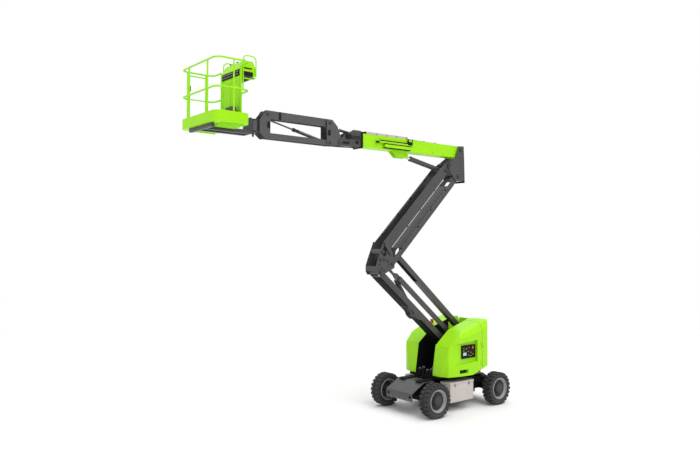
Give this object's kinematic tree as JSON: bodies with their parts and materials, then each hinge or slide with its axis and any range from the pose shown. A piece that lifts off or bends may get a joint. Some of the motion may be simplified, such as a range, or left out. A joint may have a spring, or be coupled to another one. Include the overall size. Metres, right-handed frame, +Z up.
{
  "type": "articulating boom lift",
  "caption": "Wheeled chassis with slewing turntable, two-stage folding riser, telescopic boom, parallelogram jib and a railed work platform.",
  "frame": {"origin": "on the ground, under the middle of the overall length and width as shown, with the arms raised", "axes": "+X the way the boom points and the longest extent, +Y the machine's left and the shortest extent, +Z up"},
  "size_m": [7.4281, 1.744, 6.9481],
  "materials": {
    "lime_paint": "gloss",
    "dark_grey_paint": "satin",
    "black_paint": "satin",
    "grey_paint": "satin",
    "pale_moulded_plastic": "matte",
    "tyre_rubber": "matte",
    "silver_rim": "satin",
    "chrome_rod": "polished",
    "dark_plastic": "matte",
    "red_plastic": "matte"
  },
  "bodies": {
    "chassis": {"chassis_frame": "dark_grey_paint", "front_axle_cover": "dark_grey_paint", "rear_axle_cover": "dark_grey_paint", "left_side_box": "pale_moulded_plastic", "left_side_box_lid": "pale_moulded_plastic", "right_side_box": "pale_moulded_plastic", "right_side_box_lid": "pale_moulded_plastic"},
    "left_steering": {"left_steering_knuckle": "dark_grey_paint"},
    "right_steering": {"right_steering_knuckle": "dark_grey_paint"},
    "steering_rod": {"steering_rod": "dark_grey_paint"},
    "front_left_wheel": {"front_left_tyre": "tyre_rubber", "front_left_rim": "silver_rim"},
    "front_right_wheel": {"front_right_tyre": "tyre_rubber", "front_right_rim": "silver_rim"},
    "rear_left_wheel": {"rear_left_tyre": "tyre_rubber", "rear_left_rim": "silver_rim"},
    "rear_right_wheel": {"rear_right_tyre": "tyre_rubber", "rear_right_rim": "silver_rim"},
    "turntable": {"turntable": "dark_grey_paint", "counterweight": "lime_paint", "engine": "black_paint", "power_pack": "dark_plastic"},
    "left_hood": {"left_hood": "lime_paint"},
    "right_hood": {"right_hood": "lime_paint", "beacon": "red_plastic"},
    "lower_arm": {"lower_arm": "black_paint"},
    "level_link": {"level_link": "black_paint"},
    "timing_link": {"timing_link": "black_paint"},
    "riser_cylinder_barrel": {"riser_cylinder_barrel": "black_paint"},
    "riser_cylinder_rod": {"riser_cylinder_rod": "chrome_rod"},
    "mid_knuckle": {"mid_knuckle": "dark_grey_paint"},
    "front_upper_arm": {"front_upper_arm": "black_paint"},
    "rear_upper_arm": {"rear_upper_arm": "black_paint"},
    "top_knuckle": {"top_knuckle": "dark_grey_paint"},
    "boom_cylinder_barrel": {"boom_cylinder_barrel": "black_paint"},
    "boom_cylinder_rod": {"boom_cylinder_rod": "chrome_rod"},
    "telescope": {"telescope": "grey_paint"},
    "jib_base": {"jib_base": "dark_grey_paint"},
    "level_cylinder_barrel": {"level_cylinder_barrel": "black_paint"},
    "level_cylinder_rod": {"level_cylinder_rod": "chrome_rod"},
    "jib_upper_arm": {"jib_upper_arm": "dark_grey_paint"},
    "jib_lower_arm": {"jib_lower_arm": "dark_grey_paint"},
    "jib_head": {"jib_head": "dark_grey_paint"},
    "jib_cylinder_barrel": {"jib_cylinder_barrel": "black_paint"},
    "jib_cylinder_rod": {"jib_cylinder_rod": "chrome_rod"},
    "platform_gate": {"platform_gate": "lime_paint"},
    "boom": {"boom": "lime_paint", "boom_cable_guides": "lime_paint"},
    "platform": {"platform_mount": "grey_paint", "platform_floor": "lime_paint", "platform_rails": "lime_paint", "platform_back_panel": "lime_paint", "platform_controls": "lime_paint", "control_guards": "lime_paint", "foot_switch": "grey_paint"}
  },
  "joints": [
    {"name": "left_steer", "type": "hinge", "parent": "chassis", "child": "left_steering", "pos_m": [-1.3495, 0.577, 0.364], "axis": [0, 0, 1], "range_deg": [-35, 35]},
    {"name": "front_left_wheel_spin", "type": "hinge", "parent": "left_steering", "child": "front_left_wheel", "pos_m": [-1.3495, 0.757, 0.364], "axis": [0, 1, 0], "continuous": true},
    {"name": "rear_left_wheel_spin", "type": "hinge", "parent": "chassis", "child": "rear_left_wheel", "pos_m": [-3.3495, 0.757, 0.364], "axis": [0, 1, 0], "continuous": true},
    {"name": "right_steer", "type": "hinge", "parent": "chassis", "child": "right_steering", "pos_m": [-1.3495, -0.577, 0.364], "axis": [0, 0, 1], "range_deg": [-35, 35]},
    {"name": "front_right_wheel_spin", "type": "hinge", "parent": "right_steering", "child": "front_right_wheel", "pos_m": [-1.3495, -0.757, 0.364], "axis": [0, 1, 0], "continuous": true},
    {"name": "rear_right_wheel_spin", "type": "hinge", "parent": "chassis", "child": "rear_right_wheel", "pos_m": [-3.3495, -0.757, 0.364], "axis": [0, 1, 0], "continuous": true},
    {"name": "steering_rod_slide", "type": "slide", "parent": "chassis", "child": "steering_rod", "axis": [0, 1, 0], "range_m": [-0.09, 0.09]},
    {"name": "slew", "type": "hinge", "parent": "chassis", "child": "turntable", "pos_m": [-2.3495, 0, 0.6997], "axis": [0, 0, 1], "range_deg": [-177.5, 177.5]},
    {"name": "left_hood_hinge", "type": "hinge", "parent": "turntable", "child": "left_hood", "pos_m": [-2.8655, 0.772, 0.752], "axis": [0, 0, 1], "range_deg": [0, 90]},
    {"name": "right_hood_hinge", "type": "hinge", "parent": "turntable", "child": "right_hood", "pos_m": [-2.8655, -0.772, 0.752], "axis": [0, 0, -1], "range_deg": [0, 90]},
    {"name": "riser_lift", "type": "hinge", "parent": "turntable", "child": "lower_arm", "pos_m": [-2.6085, 0, 1.208], "axis": [0, -1, 0], "range_deg": [-36, 28]},
    {"name": "level_link_pivot", "type": "hinge", "parent": "turntable", "child": "level_link", "pos_m": [-2.8535, 0, 1.328], "axis": [0, -1, 0], "range_deg": [-36.02, 28.02]},
    {"name": "mid_knuckle_level", "type": "hinge", "parent": "lower_arm", "child": "mid_knuckle", "pos_m": [-0.36436, 0, 3.04481], "axis": [0, -1, 0], "range_deg": [-28.02, 36.02]},
    {"name": "front_upper_arm_pivot", "type": "hinge", "parent": "mid_knuckle", "child": "front_upper_arm", "pos_m": [-0.42936, 0, 3.4598], "axis": [0, -1, 0], "range_deg": [-31.38, 40.34]},
    {"name": "rear_upper_arm_pivot", "type": "hinge", "parent": "mid_knuckle", "child": "rear_upper_arm", "pos_m": [-0.70836, 0, 3.2048], "axis": [0, -1, 0], "range_deg": [-31.38, 40.34]},
    {"name": "top_knuckle_level", "type": "hinge", "parent": "front_upper_arm", "child": "top_knuckle", "pos_m": [-2.47789, 0, 5.43115], "axis": [0, -1, 0], "range_deg": [-40.34, 31.38]},
    {"name": "timing_link_pivot", "type": "hinge", "parent": "rear_upper_arm", "child": "timing_link", "pos_m": [-0.96936, 0, 3.35981], "axis": [0, -1, 0], "range_deg": [-79.94, 62.18]},
    {"name": "riser_cylinder_pivot", "type": "hinge", "parent": "lower_arm", "child": "riser_cylinder_barrel", "pos_m": [-1.49029, 0, 2.0806], "axis": [0, -1, 0], "range_deg": [-2.18, 1.7]},
    {"name": "riser_rod_slide", "type": "slide", "parent": "riser_cylinder_barrel", "child": "riser_cylinder_rod", "axis": [0.571, 0, 0.8209], "range_m": [-0.2172, 0.16905]},
    {"name": "boom_lift", "type": "hinge", "parent": "top_knuckle", "child": "boom", "pos_m": [-2.8495, 0, 5.8], "axis": [0, -1, 0], "range_deg": [0, 75]},
    {"name": "boom_cylinder_pivot", "type": "hinge", "parent": "top_knuckle", "child": "boom_cylinder_barrel", "pos_m": [-2.3995, 0, 5.29], "axis": [0, -1, 0], "range_deg": [0, 72.03]},
    {"name": "boom_rod_slide", "type": "slide", "parent": "boom_cylinder_barrel", "child": "boom_cylinder_rod", "axis": [0.9807, 0, 0.1953], "range_m": [0, 0.82457]},
    {"name": "telescope_slide", "type": "slide", "parent": "boom", "child": "telescope", "axis": [1, 0, 0], "range_m": [0, 1.2]},
    {"name": "jib_base_level", "type": "hinge", "parent": "telescope", "child": "jib_base", "pos_m": [0.6605, 0, 5.64], "axis": [0, -1, 0], "range_deg": [-75.02, 0]},
    {"name": "level_cylinder_pivot", "type": "hinge", "parent": "telescope", "child": "level_cylinder_barrel", "pos_m": [0.2705, 0, 5.87], "axis": [0, -1, 0], "range_deg": [-29.43, 0]},
    {"name": "level_rod_slide", "type": "slide", "parent": "level_cylinder_barrel", "child": "level_cylinder_rod", "axis": [0.9914, 0, 0.1309], "range_m": [0, 0.2375]},
    {"name": "jib_lift", "type": "hinge", "parent": "jib_base", "child": "jib_upper_arm", "pos_m": [0.9105, 0, 6.01], "axis": [0, -1, 0], "range_deg": [-70, 65]},
    {"name": "jib_lower_arm_pivot", "type": "hinge", "parent": "jib_base", "child": "jib_lower_arm", "pos_m": [0.9105, 0, 5.62], "axis": [0, -1, 0], "range_deg": [-70.02, 65.02]},
    {"name": "jib_head_level", "type": "hinge", "parent": "jib_upper_arm", "child": "jib_head", "pos_m": [2.3505, 0, 6.01], "axis": [0, -1, 0], "range_deg": [-65.02, 70.02]},
    {"name": "jib_cylinder_pivot", "type": "hinge", "parent": "jib_base", "child": "jib_cylinder_barrel", "pos_m": [0.9105, 0, 5.62], "axis": [0, -1, 0], "range_deg": [-67.22, 62.42]},
    {"name": "jib_rod_slide", "type": "slide", "parent": "jib_cylinder_barrel", "child": "jib_cylinder_rod", "axis": [0.9753, 0, 0.2207], "range_m": [-0.37415, 0.34746]},
    {"name": "platform_rotate", "type": "hinge", "parent": "jib_head", "child": "platform", "pos_m": [2.6005, 0, 5.6], "axis": [0, 0, 1], "range_deg": [-80, 80]},
    {"name": "gate_hinge", "type": "hinge", "parent": "platform", "child": "platform_gate", "pos_m": [3.2105, -0.6587, 6.24805], "axis": [0, 0, 1], "range_deg": [0, 90]}
  ],
  "couplings": [
    {"joint": "right_steer", "follows": "left_steer", "ratio": 1},
    {"joint": "steering_rod_slide", "follows": "left_steer", "m_per_rad": -0.14084},
    {"joint": "level_link_pivot", "follows": "riser_lift", "ratio": 1},
    {"joint": "mid_knuckle_level", "follows": "riser_lift", "ratio": -1},
    {"joint": "front_upper_arm_pivot", "follows": "riser_lift", "ratio": -1.12},
    {"joint": "rear_upper_arm_pivot", "follows": "riser_lift", "ratio": -1.12},
    {"joint": "top_knuckle_level", "follows": "riser_lift", "ratio": 1.12},
    {"joint": "timing_link_pivot", "follows": "riser_lift", "ratio": 2.22},
    {"joint": "riser_cylinder_pivot", "follows": "riser_lift", "ratio": 0.06},
    {"joint": "riser_rod_slide", "follows": "riser_lift", "m_per_rad": 0.3449},
    {"joint": "boom_cylinder_pivot", "follows": "boom_lift", "ratio": 0.96012},
    {"joint": "boom_rod_slide", "follows": "boom_lift", "m_per_rad": 0.62954},
    {"joint": "jib_base_level", "follows": "boom_lift", "ratio": -1},
    {"joint": "level_cylinder_pivot", "follows": "boom_lift", "ratio": -0.39209},
    {"joint": "level_rod_slide", "follows": "boom_lift", "m_per_rad": 0.18106},
    {"joint": "jib_lower_arm_pivot", "follows": "jib_lift", "ratio": 1},
    {"joint": "jib_head_level", "follows": "jib_lift", "ratio": -1},
    {"joint": "jib_cylinder_pivot", "follows": "jib_lift", "ratio": 0.96},
    {"joint": "jib_rod_slide", "follows": "jib_lift", "m_per_rad": 0.30584}
  ]
}
